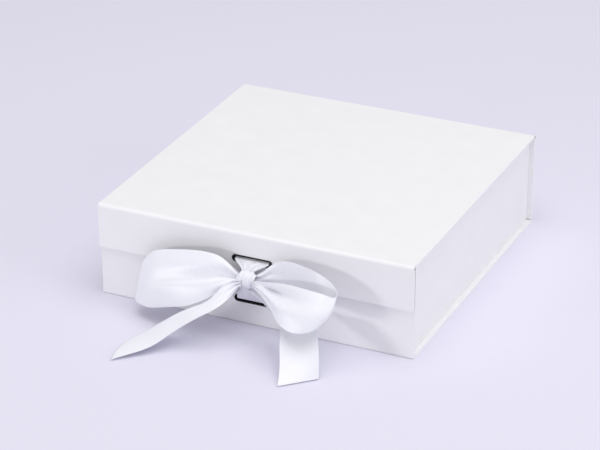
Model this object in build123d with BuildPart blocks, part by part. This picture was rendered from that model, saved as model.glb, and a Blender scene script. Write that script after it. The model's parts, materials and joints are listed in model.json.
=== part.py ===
from build123d import *
from math import sqrt
import os

os.makedirs("parts", exist_ok=True)

# Gift box of paper-wrapped board: a tray, a lid hinged along the back, a front flap that
# hangs from the lid, and a satin ribbon tied in a bow through a slot in the flap and one
# in the front wall. Millimetres, +Z up, -Y towards the front.
# The origin is the centre of the base, on the surface that the box stands on.

# Overall box
box_width = 220.0
box_depth = 220.0
box_height = 66.0
flap_drop = 31.0

# Board, paper and folds
board_thickness = 1.7
paper_thickness = 0.15
crease_radius = 2.3
bottom_radius = 1.0
edge_radius = 0.3
turn_in = 6.0
groove_height = 0.5
fold_thickness = 0.6
side_recess = 3.5

# Clearances
flap_clearance = 0.35
lid_clearance = 0.4
crease_clearance = 0.3
wall_clearance = 0.1
ribbon_clearance = 0.3

# Corner ears that tie the side walls to the front wall and the spine
ear_width = 22.0
ear_thickness = 1.0
ear_margin = 5.0
tape_thickness = 0.2
tape_inset = 3.0

# Flap magnets and the steel discs that they meet in the front wall
magnet_diameter = 12.0
magnet_thickness = 1.2
keeper_diameter = 14.0
keeper_thickness = 0.8
magnet_inset = 40.0

# Ribbon slots and their edging
slot_width = 26.5
slot_height = 3.2
edging_wall = 0.45
edging_rim = 0.9
edging_proud = 0.3
upper_slot_rise = 12.5
lower_slot_drop = 17.4

# Ribbon: the bands through the slots, the paper patches over their glued ends, and the knot
ribbon_thickness = 0.5
band_clearance = 1.75
throat_width = 9.0
patch_overlap = 3.0
patch_margin = 0.9
knot_width = 12.6
knot_depth = 9.0
knot_height = 12.0
knot_roundness = 0.4
knot_end_bevel = 1.4
knot_stand_off = 4.5
knot_rise = 3.5

# Bow: room in front of the flap for the loops, and the tails' roots on the knot
bow_reach = 60.0
tail_root_width = 4.0
tail_root_offset = 2.0
tail_stations = 10

# Places that follow from the sizes above
panel_thickness = board_thickness + 2 * paper_thickness
groove_depth = panel_thickness - fold_thickness
half_width = box_width / 2
flap_front = -box_depth / 2
flap_back = flap_front + panel_thickness
wall_front = flap_back + ribbon_thickness + paper_thickness + flap_clearance
wall_back = wall_front + panel_thickness
spine_back = box_depth / 2
spine_front = spine_back - panel_thickness
lid_under = box_height - panel_thickness
crease_z = box_height - crease_radius
wall_top = lid_under - lid_clearance
lid_front = flap_front + crease_radius
lid_back = spine_back - crease_radius - crease_clearance
flap_top = crease_z - crease_clearance
flap_bottom = box_height - flap_drop
side_outer = half_width - side_recess
side_inner = side_outer - panel_thickness
magnet_offset = half_width - magnet_inset
magnet_z = (flap_top + flap_bottom) / 2
upper_slot_z = flap_bottom + upper_slot_rise
lower_slot_z = flap_bottom - lower_slot_drop
band_width = slot_width - 2 * band_clearance
knot_radius = knot_depth * knot_roundness
knot_z = flap_bottom + knot_rise
knot_back = flap_front - knot_stand_off
knot_front = knot_back - knot_depth
knot_bottom = knot_z - knot_height / 2
knot_top = knot_z + knot_height / 2
knot_side = knot_width / 2 + ribbon_clearance


def save(name, part):
    part.label = name
    export_step(part, f"parts/{name}.step")


def slab(plane, width, height, low, high):
    """A plate on a panel's plane, between two depths below the panel's outer face."""
    with BuildPart(plane) as plate:
        with Locations((0, 0, -low)):
            Box(width, height, high - low, align=(Align.CENTER, Align.CENTER, Align.MAX))
    return plate.part


def cut_slot(part, slot_z):
    """The part with a round-ended slot for one edging cut forwards from the box's middle."""
    with BuildPart() as cut:
        add(part)
        with BuildSketch(Plane.XZ):
            with Locations((0, slot_z)):
                SlotOverall(cut_length, cut_height)
        extrude(amount=box_depth, mode=Mode.SUBTRACT)
    return cut.part


def covered_panel(plane, width, height):
    """The board, outer paper with turned-in edges, and liner of one wrapped panel."""
    inner_layer = panel_thickness - paper_thickness
    board_width = width - 2 * paper_thickness
    board_height = height - 2 * paper_thickness
    board = slab(plane, board_width, board_height, paper_thickness, inner_layer)
    liner = slab(plane, width - 2 * turn_in, height - 2 * turn_in, inner_layer, panel_thickness)
    with BuildPart() as wrap:
        add(slab(plane, width, height, 0, panel_thickness))
        outer_face = wrap.faces().sort_by(Axis(plane.origin, plane.z_dir))[-1]
        fillet(outer_face.edges(), edge_radius)
        add(board, mode=Mode.SUBTRACT)
        add(liner, mode=Mode.SUBTRACT)
    return board, wrap.part, liner


def front_discs(diameter, face_y, thickness):
    """A pair of discs, left and right, whose front faces lie at face_y."""
    with BuildPart() as discs:
        with BuildSketch(Plane.XZ.offset(-face_y)):
            with Locations((-magnet_offset, magnet_z), (magnet_offset, magnet_z)):
                Circle(diameter / 2)
        extrude(amount=-thickness)
    return discs.part


# Tray: front wall, base and spine share one sheet of outer paper, seen here in side profile
with BuildPart() as case_wrap:
    with BuildSketch(Plane.YZ) as outline:
        with BuildLine():
            Polyline(
                (wall_front, wall_top),
                (wall_front, 0),
                (spine_back, 0),
                (spine_back, crease_z),
                (spine_front, crease_z),
                (spine_front, panel_thickness + groove_height),
                (spine_front + groove_depth, panel_thickness + groove_height),
                (spine_front + groove_depth, panel_thickness),
                (wall_back - groove_depth, panel_thickness),
                (wall_back - groove_depth, panel_thickness + groove_height),
                (wall_back, panel_thickness + groove_height),
                (wall_back, wall_top),
                close=True,
            )
        make_face()
        fillet(outline.vertices().group_by(Axis.Y)[0], bottom_radius)
    extrude(amount=half_width, both=True)

inside_paper = panel_thickness - paper_thickness
board_length = box_width - 2 * paper_thickness
liner_length = box_width - 2 * turn_in
wall_foot = panel_thickness + groove_height + paper_thickness

base_middle = (wall_front + spine_back) / 2
base_plane = Plane(origin=(0, base_middle, 0), x_dir=(1, 0, 0), z_dir=(0, 0, -1))
base_span = spine_back - wall_front
base_board = slab(base_plane, board_length, base_span - 2 * bottom_radius, paper_thickness, inside_paper)
base_liner_span = spine_front - wall_back - 2 * wall_clearance
base_liner_plane = Plane(
    origin=(0, (wall_back + spine_front) / 2, 0), x_dir=(1, 0, 0), z_dir=(0, 0, -1)
)
base_liner = slab(base_liner_plane, liner_length, base_liner_span, inside_paper, panel_thickness)

front_height = wall_top - paper_thickness - wall_foot
front_plane = Plane(
    origin=(0, wall_front, wall_foot + front_height / 2), x_dir=(1, 0, 0), z_dir=(0, -1, 0)
)
front_board_blank = slab(front_plane, board_length, front_height, paper_thickness, inside_paper)
front_liner_height = front_height - 2 * turn_in
front_liner_blank = slab(front_plane, liner_length, front_liner_height, inside_paper, panel_thickness)

spine_height = crease_z - wall_foot
spine_plane = Plane(
    origin=(0, spine_back, wall_foot + spine_height / 2), x_dir=(1, 0, 0), z_dir=(0, 1, 0)
)
spine_board = slab(spine_plane, board_length, spine_height, paper_thickness, inside_paper)
spine_liner = slab(spine_plane, liner_length, spine_height - 2 * turn_in, inside_paper, panel_thickness)

for covered in (base_board, base_liner, front_board_blank, front_liner_blank, spine_board, spine_liner):
    with case_wrap:
        add(covered, mode=Mode.SUBTRACT)

# The ribbon's two slots, each with a dark edging: a sleeve through the panel and a rim on its face
cut_length = slot_width + 2 * edging_wall
cut_height = slot_height + 2 * edging_wall

keepers = front_discs(keeper_diameter, wall_front + paper_thickness, keeper_thickness)
with BuildPart() as front_board:
    add(cut_slot(front_board_blank, lower_slot_z))
    add(keepers, mode=Mode.SUBTRACT)

save("case_wrap", cut_slot(case_wrap.part, lower_slot_z))
save("base_board", base_board)
save("base_liner", base_liner)
save("front_board", front_board.part)
save("front_liner", cut_slot(front_liner_blank, lower_slot_z))
save("spine_board", spine_board)
save("spine_liner", spine_liner)
save("keeper_discs", keepers)


def slot_edging(z, face_y):
    """Sleeve through a front panel, with a rim that stands on its face at face_y."""
    with BuildPart() as edging:
        with BuildSketch(Plane.XZ.offset(-face_y)):
            with Locations((0, z)):
                SlotOverall(cut_length, cut_height)
        extrude(amount=-panel_thickness)
        with BuildSketch(Plane.XZ.offset(-face_y)):
            with Locations((0, z)):
                SlotOverall(slot_width + 2 * edging_rim, slot_height + 2 * edging_rim)
        extrude(amount=edging_proud)
        with BuildSketch(Plane.XZ.offset(-face_y + edging_proud)):
            with Locations((0, z)):
                SlotOverall(slot_width, slot_height)
        extrude(amount=-panel_thickness - edging_proud, mode=Mode.SUBTRACT)
    return edging.part


save("lower_slot_edging", slot_edging(lower_slot_z, wall_front))
save("upper_slot_edging", slot_edging(upper_slot_z, flap_front))

# Side walls stand on the base between the front wall and the spine, set in from the ends
side_depth = spine_front - wall_back - 2 * wall_clearance
side_height = wall_top - panel_thickness
side_middle = ((wall_back + spine_front) / 2, panel_thickness + side_height / 2)
for side, sign in (("left", -1), ("right", 1)):
    side_plane = Plane(
        origin=(sign * side_outer, *side_middle), x_dir=(0, sign, 0), z_dir=(sign, 0, 0)
    )
    side_board, side_wrap, side_liner = covered_panel(side_plane, side_depth, side_height)
    save(f"{side}_wall_board", side_board)
    save(f"{side}_wall_wrap", side_wrap)
    save(f"{side}_wall_liner", side_liner)

# Ears folded in from the side walls, taped to the front wall and to the spine
ear_reach = side_inner - wall_clearance - ear_width / 2
ear_height = side_height - 2 * ear_margin
ear_z = panel_thickness + side_height / 2
for end, face_y, inward in (("front", wall_back, 1), ("rear", spine_front, -1)):
    for side, sign in (("left", -1), ("right", 1)):
        ear_plane = Plane(
            origin=(sign * ear_reach, face_y, ear_z), x_dir=(1, 0, 0), z_dir=(0, -inward, 0)
        )
        ear = slab(ear_plane, ear_width, ear_height, tape_thickness, tape_thickness + ear_thickness)
        tape = slab(ear_plane, ear_width - 2 * tape_inset, ear_height - 2 * tape_inset, 0, tape_thickness)
        save(f"{side}_{end}_ear", ear)
        save(f"{side}_{end}_tape", tape)

# Lid
lid_plane = Plane(origin=(0, (lid_front + lid_back) / 2, box_height))
lid_board, lid_wrap, lid_liner = covered_panel(lid_plane, box_width, lid_back - lid_front)
save("lid_board", lid_board)
save("lid_wrap", lid_wrap)
save("lid_liner", lid_liner)


def crease(back_side):
    """Quarter-round strip of paper where the outer sheet folds over the lid's edge."""
    centre_y = spine_back - crease_radius if back_side else flap_front + crease_radius
    start_angle = 0 if back_side else 90
    with BuildPart() as strip:
        with BuildSketch(Plane.YZ):
            with BuildLine():
                middle = (centre_y, crease_z)
                outer = CenterArc(middle, crease_radius, start_angle, 90)
                inner = CenterArc(middle, crease_radius - paper_thickness, start_angle, 90)
                Line(outer @ 0, inner @ 0)
                Line(outer @ 1, inner @ 1)
            make_face()
        extrude(amount=half_width, both=True)
    return strip.part


save("lid_crease", crease(True))
save("flap_crease", crease(False))

# Front flap
flap_plane = Plane(
    origin=(0, flap_front, (flap_top + flap_bottom) / 2), x_dir=(1, 0, 0), z_dir=(0, -1, 0)
)
flap_blanks = covered_panel(flap_plane, box_width, flap_top - flap_bottom)
flap_pieces = [cut_slot(blank, upper_slot_z) for blank in flap_blanks]
magnet_face = flap_back - paper_thickness - magnet_thickness
magnets = front_discs(magnet_diameter, magnet_face, magnet_thickness)
with BuildPart() as flap_board:
    add(flap_pieces[0])
    add(magnets, mode=Mode.SUBTRACT)
save("flap_board", flap_board.part)
save("flap_wrap", flap_pieces[1])
save("flap_liner", flap_pieces[2])
save("flap_magnets", magnets)

# Ribbon bands: each is glued behind its panel, comes out of the slot and narrows to the knot
upper_anchor_z = flap_top - patch_margin - patch_overlap
lower_anchor_z = panel_thickness + patch_margin + patch_overlap
knot_bevel = knot_radius * (1 - sqrt(0.5))
band_stand_off = (ribbon_clearance + ribbon_thickness / 2) * sqrt(0.5)


def band(slot_z, anchor_z, panel_back, panel_front, knot_edge, up):
    """A strip from its glued end through the slot, then a tapered length to the knot's rounded rear edge."""
    inside_y = panel_back + ribbon_thickness / 2
    slot_exit = (panel_front - edging_proud - ribbon_thickness, slot_z + up * ribbon_thickness)
    knot_end = (knot_back - knot_bevel + band_stand_off, knot_edge + up * (knot_bevel - band_stand_off))
    towards_knot = Vector(0, knot_end[0] - slot_exit[0], knot_end[1] - slot_exit[1])
    across_taper = Vector(1, 0, 0).cross(towards_knot)
    with BuildPart() as strip:
        with BuildSketch(Plane.YZ):
            with BuildLine() as path:
                Polyline(
                    (inside_y, anchor_z),
                    (inside_y, slot_z - up * ribbon_thickness),
                    slot_exit,
                )
            trace(path.line, ribbon_thickness)
        extrude(amount=band_width / 2, both=True)
        with BuildSketch(Plane(origin=(0, *slot_exit), x_dir=(1, 0, 0), z_dir=across_taper)):
            with BuildLine():
                Polyline(
                    (-band_width / 2, 0),
                    (band_width / 2, 0),
                    (throat_width / 2, towards_knot.length),
                    (-throat_width / 2, towards_knot.length),
                    close=True,
                )
            make_face()
        extrude(amount=ribbon_thickness / 2, both=True)
    return strip.part


save("upper_band", band(upper_slot_z, upper_anchor_z, flap_back, flap_front, knot_top, -1))
save("lower_band", band(lower_slot_z, lower_anchor_z, wall_back, wall_front, knot_bottom, 1))


def patch(slot_z, anchor_z, panel_back, up):
    """Paper patch over a band's glued end, behind its panel."""
    near = slot_z - up * cut_height / 2
    far = anchor_z - up * patch_overlap
    patch_plane = Plane(
        origin=(0, panel_back + ribbon_thickness, (near + far) / 2), x_dir=(1, 0, 0), z_dir=(0, -1, 0)
    )
    return slab(patch_plane, band_width + 2 * patch_overlap, abs(far - near), 0, paper_thickness)


save("upper_patch", patch(upper_slot_z, upper_anchor_z, flap_back, -1))
save("lower_patch", patch(lower_slot_z, lower_anchor_z, wall_back, 1))

# Bow knot, a rounded turn of ribbon drawn tight in front of the flap's lower edge
with BuildPart() as knot:
    with BuildSketch(Plane.YZ):
        with Locations(((knot_back + knot_front) / 2, knot_z)):
            RectangleRounded(knot_depth, knot_height, knot_radius)
    extrude(amount=knot_width / 2, both=True)
    chamfer(knot.faces().filter_by(Axis.X).edges(), knot_end_bevel)
save("bow_knot", knot.part)


# Bow loops: a hollow cone of ribbon that turns about a slanted axis, drawn as two teardrop rings square to
# the axis, and trimmed to the ribbon's two edges as seen from the front.
# Axis ends are (across, out from the knot's back, above the knot's middle).
# Ring values are the tip's radius, the bulge of the front layer as (towards the knot, forwards), and how far
# behind and in front of the axis the rear and front layers end at the knot.
# Edge places are (across, above the knot's middle); the top edge falls by its lean for each step out.
def bow_loop(axis_ends, rings, top_edge, low_edge, top_lean):
    side = 1 if top_edge[0][0] > 0 else -1
    foot, head = [Vector(across, knot_back - out, knot_z + rise) for across, out, rise in axis_ends]
    with BuildPart() as loop:
        for inset, mode in ((0, Mode.ADD), (ribbon_thickness, Mode.SUBTRACT)):
            for middle, (radius, bulge, rear_end, near_end) in zip((foot, head), rings):
                reach = abs(middle.X)
                rear = -side * (radius - inset)
                rear_throat = (reach, -side * (rear_end - inset))
                near_bulge = (bulge[0], side * (bulge[1] - inset))
                near_throat = (reach, side * (near_end - inset))
                with BuildSketch(Plane(origin=middle, x_dir=(-side, 0, 0), z_dir=head - foot)):
                    with BuildLine():
                        Line(rear_throat, (0, rear))
                        ThreePointArc((0, rear), (inset - radius, 0), (0, -rear))
                        ThreePointArc((0, -rear), near_bulge, near_throat)
                        Line(near_throat, rear_throat)
                    make_face()
            loft(ruled=True, mode=mode)
        for edge, lean, far in ((top_edge, top_lean, -bow_reach), (low_edge, 0, bow_reach)):
            with BuildSketch(Plane.XZ.offset(-flap_front)):
                with BuildLine():
                    rim = Spline(*[(across, knot_z + rise) for across, rise in edge])
                    near_corner = (edge[0][0], knot_z + far)
                    far_corner = (edge[-1][0], knot_z + far)
                    Polyline(rim @ 0, near_corner, far_corner, rim @ 1)
                make_face()
            extrude(amount=bow_reach, dir=(0, -1, -lean), mode=Mode.INTERSECT)
    return loop.part


left_axis = [(-69.3, 7.3, -28.5), (-74, 0.5, 15.5)]
left_rings = [(9.2, (27.3, 14.2), 5.8, 2.2), (2, (36, 4), -1.5, 4.5)]
left_top_edge = [(-knot_side, 3.5), (-20, 10), (-38, 12.5), (-58, 9.5), (-72, 1.5), (-82, -10.5)]
left_low_edge = [(-knot_side, -3.5), (-20, -11.5), (-38, -18.5), (-58, -24.5), (-72, -25.5), (-82, -20.5)]
left_lean = 0
save("bow_loop_left", bow_loop(left_axis, left_rings, left_top_edge, left_low_edge, left_lean))

right_axis = [(51.2, 42.5, -28.5), (63.8, 1, 31.5)]
right_rings = [(6.5, (16.6, 5.3), 41.8, -37.6), (6.5, (26.6, 8.3), -7.9, 14)]
right_top_edge = [(knot_side, 6), (16, 12.5), (27, 18), (40, 21), (54, 20.7), (66, 17.5), (76, 13.5)]
right_low_edge = [(knot_side, -2.5), (16, -3), (27, -6), (36, -10), (45, -12), (58, -10), (76, -5)]
right_lean = 0.42
save("bow_loop_right", bow_loop(right_axis, right_rings, right_top_edge, right_low_edge, right_lean))


# Bow tails: the left one leaves the knot's front and the right one its underside, and both reach the table.
# Places are (across, out from the knot's back, height as a share of the knot's height above the table).
def bow_tail(first_root, first_places, second_root, second_places):
    """A length of ribbon between two edge curves, lofted through thin sections."""
    edges = []
    for root, places in ((first_root, first_places), (second_root, second_places)):
        points = [(across, knot_back - out, knot_z * share) for across, out, share in places]
        edges.append(Spline(root, *points, mode=Mode.PRIVATE))
    first, second = edges
    with BuildPart() as tail:
        for i in range(tail_stations + 1):
            part_way = i / tail_stations
            across = (first @ part_way) - (second @ part_way)
            along = (first % part_way) + (second % part_way)
            side = across.normalized()
            forward = along - side * along.dot(side)
            middle = ((first @ part_way) + (second @ part_way)) * 0.5
            with BuildSketch(Plane(origin=middle, x_dir=side, z_dir=forward.normalized())):
                Rectangle(across.length, ribbon_thickness)
        loft()
    return tail.part


root_half = tail_root_width / 2
root_gap = ribbon_clearance + ribbon_thickness / 2
front_root_y = knot_front - root_gap
left_back_root = (-tail_root_offset, front_root_y, knot_z + root_half)
left_front_root = (-tail_root_offset, front_root_y, knot_z - root_half)
left_back = [(-14, 15.5, 0.961), (-36.5, 24.5, 0.468), (-54.7, 35.5, 0.104), (-64, 48.5, 0.052)]
left_front = [(-10, 22.5, 0.805), (-20, 33.5, 0.571), (-34, 43.5, 0.286), (-62, 71.5, 0.065)]
save("bow_tail_left", bow_tail(left_back_root, left_back, left_front_root, left_front))

knot_middle_y = (knot_back + knot_front) / 2
under_root_z = knot_bottom - root_gap
right_left_root = (tail_root_offset, knot_middle_y - root_half, under_root_z)
right_right_root = (tail_root_offset, knot_middle_y + root_half, under_root_z)
right_left = [(18, 15.5, 0.675), (33.4, 26.5, 0.519), (40.8, 43, 0.244), (47.2, 59.3, 0.026)]
right_right = [(30, 10.5, 0.65), (56, 21.5, 0.605), (63, 33, 0.374), (66.7, 40.3, 0.026)]
save("bow_tail_right", bow_tail(right_left_root, right_left, right_right_root, right_right))
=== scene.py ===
import json
from math import cos, pi, radians, sin

import bpy
import numpy as np
from mathutils import Matrix, Vector


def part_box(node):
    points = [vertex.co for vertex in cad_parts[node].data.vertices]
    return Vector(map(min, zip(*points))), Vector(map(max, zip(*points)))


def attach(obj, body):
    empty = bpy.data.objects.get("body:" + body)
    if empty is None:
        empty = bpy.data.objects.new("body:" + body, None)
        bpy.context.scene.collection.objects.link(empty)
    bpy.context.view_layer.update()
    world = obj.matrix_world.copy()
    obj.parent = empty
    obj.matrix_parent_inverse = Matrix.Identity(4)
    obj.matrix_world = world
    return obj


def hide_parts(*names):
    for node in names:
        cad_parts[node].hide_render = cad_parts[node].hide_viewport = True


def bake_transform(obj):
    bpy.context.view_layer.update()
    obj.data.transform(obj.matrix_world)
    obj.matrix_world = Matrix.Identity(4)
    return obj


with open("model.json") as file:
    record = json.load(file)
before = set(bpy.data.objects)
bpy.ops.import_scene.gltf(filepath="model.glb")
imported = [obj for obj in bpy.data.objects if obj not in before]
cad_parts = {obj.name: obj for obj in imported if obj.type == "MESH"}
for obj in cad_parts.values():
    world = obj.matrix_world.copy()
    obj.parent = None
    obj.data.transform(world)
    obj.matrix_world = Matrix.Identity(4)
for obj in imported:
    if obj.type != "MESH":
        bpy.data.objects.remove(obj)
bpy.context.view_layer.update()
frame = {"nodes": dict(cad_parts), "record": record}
nodes = frame["nodes"]
scene = bpy.context.scene
scene.view_settings.view_transform = "Standard"

MM = 0.001
RIBBON_THICKNESS = 0.3  # mm
RIBBON_WIDTH = 30.0  # laid flat, mm
LONG_ROWS = 120  # mesh rows along a loop or tail
SHORT_ROWS = 72  # mesh rows along a band or round the knot
TONE_SCALE = 60.0  # noise per metre for the drift of tone
GLOSS_SCALE = 120.0  # noise per metre for the drift of roughness
GRAIN_HEIGHT = 0.0001  # m


# Node helpers

def material(name, color, roughness, **sockets):
    """A Principled material; values that are the same all over sit on the shader's own sockets."""
    made = bpy.data.materials.new(name)
    made.use_nodes = True
    bsdf = made.node_tree.nodes["Principled BSDF"]
    bsdf.inputs["Base Color"].default_value = (*color, 1)
    bsdf.inputs["Roughness"].default_value = roughness
    for socket, value in sockets.items():
        bsdf.inputs[socket.replace("_", " ")].default_value = value
    return made, made.node_tree, bsdf


def node(tree, kind, links=(), **values):
    """A new node with its inputs set by name, and linked from (input, source socket) pairs."""
    made = tree.nodes.new(kind)
    for name, value in values.items():
        made.inputs[name].default_value = value
    for name, source in links:
        tree.links.new(made.inputs[name], source)
    return made


def mottle(tree, bsdf, source, scale, low, high):
    """Base colour that drifts between two close tones."""
    noise = node(tree, "ShaderNodeTexNoise", [("Vector", source)], Scale=scale, Detail=4.0)
    ramp = node(tree, "ShaderNodeValToRGB", [("Fac", noise.outputs["Fac"])])
    ramp.color_ramp.elements[0].position = 0.3
    ramp.color_ramp.elements[0].color = (*low, 1)
    ramp.color_ramp.elements[1].position = 0.7
    ramp.color_ramp.elements[1].color = (*high, 1)
    tree.links.new(bsdf.inputs["Base Color"], ramp.outputs["Color"])


def grain(tree, bsdf, source, scale, strength, distance):
    """Fine bump from a noise of the given scale."""
    noise = node(tree, "ShaderNodeTexNoise", [("Vector", source)], Scale=scale, Detail=3.0)
    height = [("Height", noise.outputs["Fac"])]
    bump = node(tree, "ShaderNodeBump", height, Strength=strength, Distance=distance)
    tree.links.new(bsdf.inputs["Normal"], bump.outputs["Normal"])


def roughness_drift(tree, bsdf, source, scale, low, high):
    """Roughness that varies softly over the surface."""
    noise = node(tree, "ShaderNodeTexNoise", [("Vector", source)], Scale=scale, Detail=2.0)
    spread = node(tree, "ShaderNodeMapRange", [("Value", noise.outputs["Fac"])])
    spread.inputs["To Min"].default_value = low
    spread.inputs["To Max"].default_value = high
    tree.links.new(bsdf.inputs["Roughness"], spread.outputs["Result"])


def surface(name, low, high, roughness, grain_scale, strength, **sockets):
    """A finish whose tone and roughness drift, with a fine grain, laid out in object space."""
    made, tree, bsdf = material(name, low, roughness[0], **sockets)
    place = tree.nodes.new("ShaderNodeTexCoord").outputs["Object"]
    mottle(tree, bsdf, place, TONE_SCALE, low, high)
    roughness_drift(tree, bsdf, place, GLOSS_SCALE, *roughness)
    grain(tree, bsdf, place, grain_scale, strength, GRAIN_HEIGHT)
    return made


# Materials

wrap_paper = surface("wrap_paper", (0.895, 0.89, 0.9), (0.915, 0.91, 0.92), (0.5, 0.62), 2600.0, 0.12)
liner_paper = surface("liner_paper", (0.87, 0.868, 0.872), (0.9, 0.898, 0.9), (0.7, 0.85), 1900.0, 0.2)
grey_board = surface("grey_board", (0.36, 0.35, 0.33), (0.46, 0.445, 0.42), (0.85, 0.95), 900.0, 0.5)
white_card = surface("white_card", (0.84, 0.838, 0.835), (0.88, 0.878, 0.875), (0.65, 0.8), 1500.0, 0.25)
tape_film = surface("tape_film", (0.8, 0.77, 0.68), (0.84, 0.81, 0.73), (0.35, 0.5), 700.0, 0.15)
# Slot edging, near black: painted shade, standing for the shadow down inside the slots
slot_edging_painted_shade = surface(
    "slot_edging_painted_shade", (0.008, 0.008, 0.009), (0.014, 0.014, 0.016), (0.55, 0.7), 1800.0, 0.2,
    Specular_IOR_Level=0.15,
)
nickel = surface("nickel", (0.56, 0.55, 0.53), (0.63, 0.62, 0.6), (0.18, 0.3), 1200.0, 0.08, Metallic=1.0)
steel = surface("steel", (0.5, 0.5, 0.51), (0.58, 0.58, 0.59), (0.3, 0.45), 1000.0, 0.15, Metallic=1.0)


def satin():
    """White satin with fine ribs across the ribbon and a soft sheen, laid out by UV in mm."""
    made, tree, bsdf = material(
        "white_satin", (0.88, 0.885, 0.935), 0.34,
        Sheen_Weight=0.25, Sheen_Roughness=0.35, Anisotropic=0.45,
    )
    uv = tree.nodes.new("ShaderNodeUVMap").outputs["UV"]
    mottle(tree, bsdf, uv, 0.35, (0.865, 0.87, 0.93), (0.89, 0.895, 0.94))
    ribs = node(tree, "ShaderNodeTexWave", [("Vector", uv)], Scale=0.9, Distortion=0.6, Detail=1.0)
    height = [("Height", ribs.outputs["Fac"])]
    bump = node(tree, "ShaderNodeBump", height, Strength=0.12, Distance=0.00008)
    tree.links.new(bsdf.inputs["Normal"], bump.outputs["Normal"])
    return made


white_satin = satin()

finishes = {
    "paper": wrap_paper, "liner": liner_paper, "board": grey_board, "card": white_card, "tape": tape_film,
    "edging": slot_edging_painted_shade, "satin": white_satin, "magnet": nickel, "steel": steel,
}
for part in frame["record"]["subparts"]:
    nodes[part["node"]].data.materials.clear()
    nodes[part["node"]].data.materials.append(finishes[part["material_slot"]])


# Ribbon helpers, in mm

def satin_sheet(name, rows, uvs, closed=False):
    """A smooth sheet of satin through a grid of points, thickened evenly about its middle."""
    count, across = rows.shape[:2]
    faces = []
    for i in range(count if closed else count - 1):
        k = (i + 1) % count
        for j in range(across - 1):
            faces.append((i * across + j, i * across + j + 1, k * across + j + 1, k * across + j))
    mesh = bpy.data.meshes.new(name)
    mesh.from_pydata((rows.reshape(-1, 3) * MM).tolist(), [], faces)
    layer = mesh.uv_layers.new(name="UVMap")
    flat = uvs.reshape(-1, 2)
    for loop in mesh.loops:
        layer.data[loop.index].uv = flat[loop.vertex_index]
    mesh.shade_smooth()
    mesh.materials.append(white_satin)
    made = bpy.data.objects.new(name, mesh)
    scene.collection.objects.link(made)
    smooth = made.modifiers.new("smooth", "SUBSURF")
    smooth.levels = 1
    smooth.render_levels = 1
    thick = made.modifiers.new("thickness", "SOLIDIFY")
    thick.thickness = RIBBON_THICKNESS * MM
    thick.offset = 0
    return made


def curve(points, count):
    """Points along a smooth curve through the given ones, evenly by index."""
    known = np.array(points, float)
    slopes = np.gradient(known, axis=0)
    at = np.linspace(0, len(known) - 1, count)
    i = np.clip(at.astype(int), 0, len(known) - 2)
    u = (at - i)[:, None]
    near = known[i] * (1 + 2 * u) + slopes[i] * u
    far = known[i + 1] * (3 - 2 * u) + slopes[i + 1] * (u - 1)
    return near * (1 - u) ** 2 + far * u ** 2


def step(low, high, value):
    """A smooth rise from 0 at low to 1 at high."""
    t = np.clip((value - low) / (high - low), 0, 1)
    return t * t * (3 - 2 * t)


def bell(offset, reach):
    """A smooth bump, 1 at no offset, that fades over its reach."""
    return np.exp(-(offset / reach) ** 2)


def ribbon(name, first, second, fold, count=LONG_ROWS, across=33):
    """A ribbon between two edge curves, raised along its normal by fold(along, share, width) in mm.

    along is the pair of distances from the ribbon's start and from its end, in mm. share runs from 0 to 1
    along the length, and width from 0 to 1 across.
    """
    a, b = curve(first, count), curve(second, count)
    width = np.linspace(0, 1, across)[None, :]
    flat = a[:, None, :] * (1 - width[..., None]) + b[:, None, :] * width[..., None]
    run = np.gradient(flat, axis=0)
    span = np.broadcast_to((b - a)[:, None, :], flat.shape)
    normal = np.cross(run, span)
    normal /= np.linalg.norm(normal, axis=2, keepdims=True) + 1e-9
    middle = flat[:, across // 2]
    length = np.concatenate([[0], np.cumsum(np.linalg.norm(np.diff(middle, axis=0), axis=1))])
    from_start = length[:, None]
    from_end = length[-1] - from_start
    share = np.linspace(0, 1, count)[:, None]
    rise = fold((from_start, from_end), share, width)
    rows = flat + normal * np.broadcast_to(rise, (count, across))[..., None]
    uvs = np.stack(np.broadcast_arrays(from_start, width * RIBBON_WIDTH), axis=-1)
    return satin_sheet(name, rows, uvs)


# Ribbon: left loop, from the knot's back round the tip to the knot's front

left_loop_top = [
    (-5, -117.5, 40.5), (-13, -115.5, 45.5), (-21, -114.5, 48), (-32, -114, 48.5), (-46, -113.5, 46.5),
    (-60, -113, 43), (-68.5, -113, 39), (-73.5, -113.5, 34.5), (-75.5, -115.5, 33), (-74, -117, 35.5),
    (-68.5, -118, 42.5), (-61, -119, 47), (-46, -119.5, 50.5), (-32, -119.5, 52.5), (-20, -119.5, 52),
    (-13, -119.5, 48.5), (-5, -119.5, 41.5),
]
left_loop_low = [
    (-5, -117.5, 36), (-13.5, -116, 31), (-21, -115, 26.5), (-34, -114, 20), (-46, -113, 16),
    (-60, -113, 12), (-70, -113.5, 10.5), (-76.5, -116.5, 10), (-78.5, -120.5, 10), (-76, -125, 9.5),
    (-69.5, -129, 10), (-62, -131.5, 11), (-46, -135, 16.5), (-33.5, -136, 20.5), (-20.5, -134, 27.5),
    (-13.5, -129, 32), (-5, -122.5, 37.5),
]


def left_loop_fold(along, share, width):
    """Pleats at both ends, and on the front half a crown with a crease that fades from the knot."""
    from_start, from_end = along
    near = bell(from_end, 14) + bell(from_start, 14)
    front = step(0.56, 0.7, share)
    pleats = 0.9 * near * np.cos(2 * pi * 3 * width + 0.6)
    crown = -3.4 * front * np.sin(pi * width) * (1 - bell(from_end, 20))
    ridge = step(0.2, 0.52, width) * (1 - step(0.52, 0.62, width))
    crease = 3.4 * front * ridge * bell(from_end - 18, 34)
    return pleats + crown + crease


loop_left = ribbon("ribbon_loop_left", left_loop_top, left_loop_low, left_loop_fold)


# Ribbon: right loop, from the knot's back round the tip to the knot's front

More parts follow.
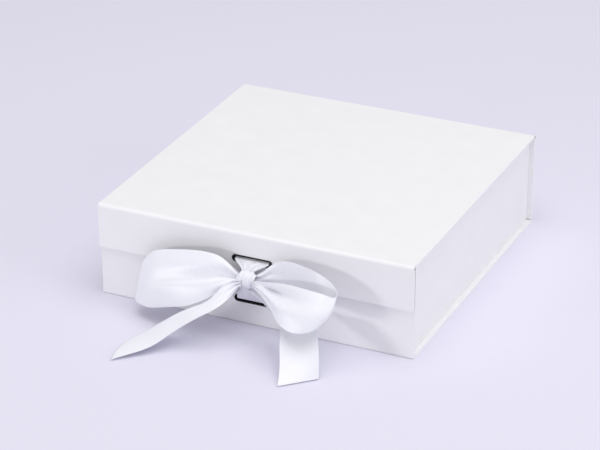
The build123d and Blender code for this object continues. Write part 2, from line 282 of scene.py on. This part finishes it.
right_loop_top = [
    (5, -117.5, 41), (10.5, -117, 45), (18.5, -116, 52.5), (27.5, -117, 56), (40, -119, 56),
    (52.5, -122, 54.5), (61.5, -124.5, 51), (66.5, -128, 47.5), (66, -132, 46), (60, -135, 48.5),
    (48.5, -135, 49.5), (36.5, -132, 48.5), (25, -127.5, 45.5), (14.5, -123.5, 42), (6, -121, 40),
]
right_loop_low = [
    (5, -117.5, 36.5), (11.5, -117, 34.5), (20, -118, 32.5), (30.5, -120, 30), (41, -124, 28),
    (49.5, -129.5, 28), (56, -137, 29), (61.5, -143.5, 31), (59.5, -148, 29.5), (53.5, -151, 27.5),
    (45, -151, 26.5), (35.5, -147.5, 28.5), (27.5, -140.5, 32.5), (16.5, -131, 36), (6, -122, 36.5),
]


def right_loop_fold(along, share, width):
    """Pleats at both ends, a pocket in the front half near the knot and a crown beyond the tip."""
    from_start, from_end = along
    near = bell(from_end, 12) + bell(from_start, 12)
    front = step(0.5, 0.66, share)
    pleats = 0.7 * near * np.cos(2 * pi * 3 * width)
    deep = front * step(2, 16, from_end) * bell(from_end - 20, 22)
    raised = 1.5 * bell(width - 0.62, 0.14)
    sunk = 6.5 * bell(width - 0.3, 0.17)
    pocket = deep * (raised - sunk)
    crown = 2.6 * step(0.38, 0.5, share) * np.sin(pi * width) * (1 - bell(from_end, 24))
    return pleats + pocket + crown


loop_right = ribbon("ribbon_loop_right", right_loop_top, right_loop_low, right_loop_fold)


# Ribbon: tails, from the knot down to the table

left_tail_back = [
    (-1.5, -123.5, 40), (-6.5, -126, 39.5), (-11, -131, 37), (-14, -134.5, 32.5), (-20, -138.5, 27),
    (-29, -141.5, 22.5), (-37, -142, 17.5), (-46, -143.5, 11), (-56, -149.5, 4), (-64, -163.5, 1.2),
]
left_tail_front = [
    (-1.5, -123.5, 36), (-2.5, -127, 35), (-4, -134, 32.5), (-7, -140, 29.5), (-11.5, -146, 26.5),
    (-18.5, -150.5, 22.5), (-26, -154, 17.5), (-33.5, -158.5, 12), (-44, -170, 5), (-61.5, -187, 1.2),
]


def left_tail_fold(along, share, width):
    """Pleats at the knot, and a low crown further down."""
    from_start = along[0]
    pleats = bell(from_start, 13) * np.cos(2 * pi * 2.5 * width)
    crown = 1.1 * np.sin(pi * width) * step(8, 40, from_start)
    return pleats + crown


tail_left = ribbon("ribbon_tail_left", left_tail_back, left_tail_front, left_tail_fold, across=25)

right_tail_left = [
    (2, -121, 32), (9, -123.5, 30.5), (20, -129, 27), (29, -135.5, 23.5), (34, -141, 20), (37, -149, 15),
    (41, -157.5, 9.5), (44.5, -166, 4.5), (47, -174, 0.8),
]
right_tail_right = [
    (2, -117.5, 32), (14, -120, 29), (30, -125, 25), (44, -130.5, 23), (56, -136, 23.5), (60, -142.5, 19.5),
    (63, -147.5, 14.5), (65, -151.5, 8), (66.5, -155, 0.8),
]


def right_tail_fold(along, share, width):
    """Pleats at the knot, and a sag that fades before the end on the table."""
    from_start, from_end = along
    pleats = 0.9 * bell(from_start, 14) * np.cos(2 * pi * 2.5 * width)
    sag = 1.2 * np.sin(pi * width) * step(30, 60, from_start) * step(2, 30, from_end)
    return pleats - sag


tail_right = ribbon("ribbon_tail_right", right_tail_left, right_tail_right, right_tail_fold, across=29)


# Ribbon: bands from the slots to the knot

upper_band_left = [
    (-11.4, -107.75, 59), (-11.4, -107.75, 50), (-11.4, -108.6, 48.1), (-11.6, -110.9, 47),
    (-8.6, -113.2, 45.6), (-4.4, -116, 43.4), (-3.4, -117.6, 41.5),
]
upper_band_right = [(-x, y, z) for x, y, z in upper_band_left]


def upper_band_fold(along, share, width):
    """Pleats that deepen from the slot and ease at the knot."""
    gather = step(0.45, 0.72, share) - 0.3 * step(0.85, 1, share)
    return 1.15 * gather * np.cos(2 * pi * 3.25 * width + 0.5) * np.sin(pi * width) ** 0.5


band_upper = ribbon(
    "ribbon_band_upper", upper_band_left, upper_band_right, upper_band_fold, count=SHORT_ROWS, across=49,
)

lower_band_left = [
    (-11.4, -104.75, 6.2), (-11.4, -104.75, 15), (-11.4, -105.6, 17), (-11.6, -107.9, 18),
    (-10.4, -110.4, 22), (-7, -113.3, 28), (-4.4, -115.8, 32.5), (-3.4, -117.4, 35),
]
lower_band_right = [(-x, y, z) for x, y, z in lower_band_left]


def lower_band_fold(along, share, width):
    """Pleats that deepen towards the knot."""
    gather = step(0.5, 0.85, share)
    return gather * np.cos(2 * pi * 2.75 * width + 0.4) * np.sin(pi * width) ** 0.5


band_lower = ribbon(
    "ribbon_band_lower", lower_band_left, lower_band_right, lower_band_fold, count=SHORT_ROWS, across=49,
)


# Ribbon: knot, a turn of gathered ribbon round the throat of the bow

knot_y, knot_z = -119.0, 38.5
knot_half_width, knot_depth, knot_height = 6.1, 4.3, 5.7
knot_skew = 0.9
knot_columns = 33
knot_weave = (5.0, 17.0)  # mm of ribbon per radian round the knot, and to each side of its middle
angle = np.linspace(0, 2 * pi, SHORT_ROWS, endpoint=False)[:, None]
side = np.linspace(-1, 1, knot_columns)[None, :]
taper = 1 - 0.42 * np.abs(side) ** 3.2
pleat = 0.42 * np.cos(2 * pi * 1.75 * side + 0.9 * np.sin(angle)) + 0.15 * np.sin(5 * side + 2 * angle)
knot_rows = np.stack(
    np.broadcast_arrays(
        knot_half_width * side + knot_skew * np.sin(angle),
        knot_y - (knot_depth * taper + pleat) * np.cos(angle),
        knot_z + (knot_height * taper + pleat) * np.sin(angle),
    ),
    axis=-1,
)
knot_uvs = np.stack(np.broadcast_arrays(angle * knot_weave[0], side * knot_weave[1]), axis=-1)
knot = satin_sheet("ribbon_knot", knot_rows, knot_uvs, closed=True)


# Each length of ribbon rides on the flap, except the lower band, and stands for its solid

for piece, count, cad_node, body, held, rests in (
    (loop_left, LONG_ROWS, "bow_loop_left", "flap", "gathered", ["bow_knot"]),
    (loop_right, LONG_ROWS, "bow_loop_right", "flap", "gathered", ["bow_knot"]),
    (tail_left, LONG_ROWS, "bow_tail_left", "flap", "hung", ["bow_knot"]),
    (tail_right, LONG_ROWS, "bow_tail_right", "flap", "hung", ["bow_knot"]),
    (band_upper, SHORT_ROWS, "upper_band", "flap", "gathered", ["flap_board"]),
    (band_lower, SHORT_ROWS, "lower_band", "case", "gathered", ["front_board"]),
    (knot, SHORT_ROWS, "bow_knot", "flap", "gathered", ["upper_band"]),
):
    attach(piece, body)
    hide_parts(cad_node)


# Folds of the outer paper at the lid and the flap

def fold_strip(name, cad_node):
    """Paper from one panel's face round the quarter turn on to the lid's top, as a thin closed sheet."""
    proud, sheet, lap = 0.02, 0.1, 1.2  # mm
    low, high = (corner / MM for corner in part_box(cad_node))
    sign = 1 if low.y > 0 else -1
    centre_y, face_y = sorted((abs(low.y), abs(high.y)))
    centre_z, top_z = low.z, high.z
    outer = top_z - centre_z + proud
    inner = outer - sheet
    turns = [pi / 2 * k / 16 for k in range(17)]
    profile = [(face_y + proud, centre_z - lap)]
    profile += [(centre_y + outer * cos(t), centre_z + outer * sin(t)) for t in turns]
    profile += [(centre_y - lap, top_z + proud), (centre_y - lap, top_z + proud - sheet)]
    profile += [(centre_y + inner * cos(t), centre_z + inner * sin(t)) for t in reversed(turns)]
    profile += [(face_y + proud - sheet, centre_z - lap)]
    count = len(profile)
    places = [(x * MM, sign * y * MM, z * MM) for x in (low.x, high.x) for y, z in profile]
    faces = [(k, (k + 1) % count, count + (k + 1) % count, count + k) for k in range(count)]
    faces += [tuple(range(count)), tuple(range(2 * count - 1, count - 1, -1))]
    mesh = bpy.data.meshes.new(name)
    mesh.from_pydata(places, [], faces)
    mesh.shade_smooth()
    mesh.set_sharp_from_angle(angle=radians(40))
    mesh.materials.append(wrap_paper)
    strip = bpy.data.objects.new(name, mesh)
    scene.collection.objects.link(strip)
    return strip


spine_fold = fold_strip("paper_fold_spine", "lid_crease")
flap_fold = fold_strip("paper_fold_flap", "flap_crease")
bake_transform(spine_fold)
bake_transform(flap_fold)
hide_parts("lid_crease")
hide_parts("flap_crease")


# Floor

floor_half = 6.0  # m
floor_corners = [(x * floor_half, y * floor_half, 0) for x, y in ((-1, -1), (1, -1), (1, 1), (-1, 1))]
floor_mesh = bpy.data.meshes.new("floor")
floor_mesh.from_pydata(floor_corners, [], [(0, 1, 2, 3)])
floor = bpy.data.objects.new("floor", floor_mesh)
scene.collection.objects.link(floor)
floor_finish = material("floor", (0.79, 0.775, 0.885), 0.9, Specular_IOR_Level=0.0)[0]
floor_mesh.materials.append(floor_finish)


# Light: even surroundings, a broad overhead panel, a low key from the front left, a fill from the right

world = bpy.data.worlds.new("surroundings")
scene.world = world
world.use_nodes = True
background = world.node_tree.nodes["Background"]
background.inputs["Color"].default_value = (0.97, 0.96, 1.0, 1)
background.inputs["Strength"].default_value = 0.48


def panel(name, place, aim, size, power):
    """A rectangular light, in metres and watts, turned to the point it aims at."""
    lamp = bpy.data.lights.new(name, "AREA")
    lamp.shape = "RECTANGLE"
    lamp.size, lamp.size_y = size
    lamp.energy = power
    made = bpy.data.objects.new(name, lamp)
    made.location = place
    made.rotation_euler = (Vector(aim) - Vector(place)).to_track_quat("-Z", "Y").to_euler()
    scene.collection.objects.link(made)


panel("overhead", place=(0.35, -0.3, 2.2), aim=(0, 0, 0), size=(2.4, 2.4), power=32)
panel("key", place=(-0.95, -1.45, 0.14), aim=(0, -0.11, 0.045), size=(0.3, 0.12), power=4.8)
panel("fill", place=(1.8, -0.3, 0.7), aim=(0, 0, 0.03), size=(1.2, 1.2), power=6.5)


# Camera, at the photo's angle

azimuth, elevation = radians(24.51), radians(25.99)
distance, shift_right, shift_up = 1.7182, -0.0154, 0.02156  # m
sensor_width = 36.0  # mm
focal_share = 2545 / 600  # focal length over the picture's width, both in pixels
back = Vector((sin(azimuth) * cos(elevation), -cos(azimuth) * cos(elevation), sin(elevation)))
right = Vector((cos(azimuth), sin(azimuth), 0))
up = back.cross(right)
lens = bpy.data.cameras.new("camera")
lens.sensor_width = sensor_width
lens.lens = sensor_width * focal_share
lens.clip_end = 50
camera = bpy.data.objects.new("camera", lens)
camera.matrix_world = Matrix(
    ((right.x, up.x, back.x, 0), (right.y, up.y, back.y, 0), (right.z, up.z, back.z, 0), (0, 0, 0, 1))
)
camera.location = back * distance + right * shift_right + up * shift_up
scene.collection.objects.link(camera)
scene.camera = camera
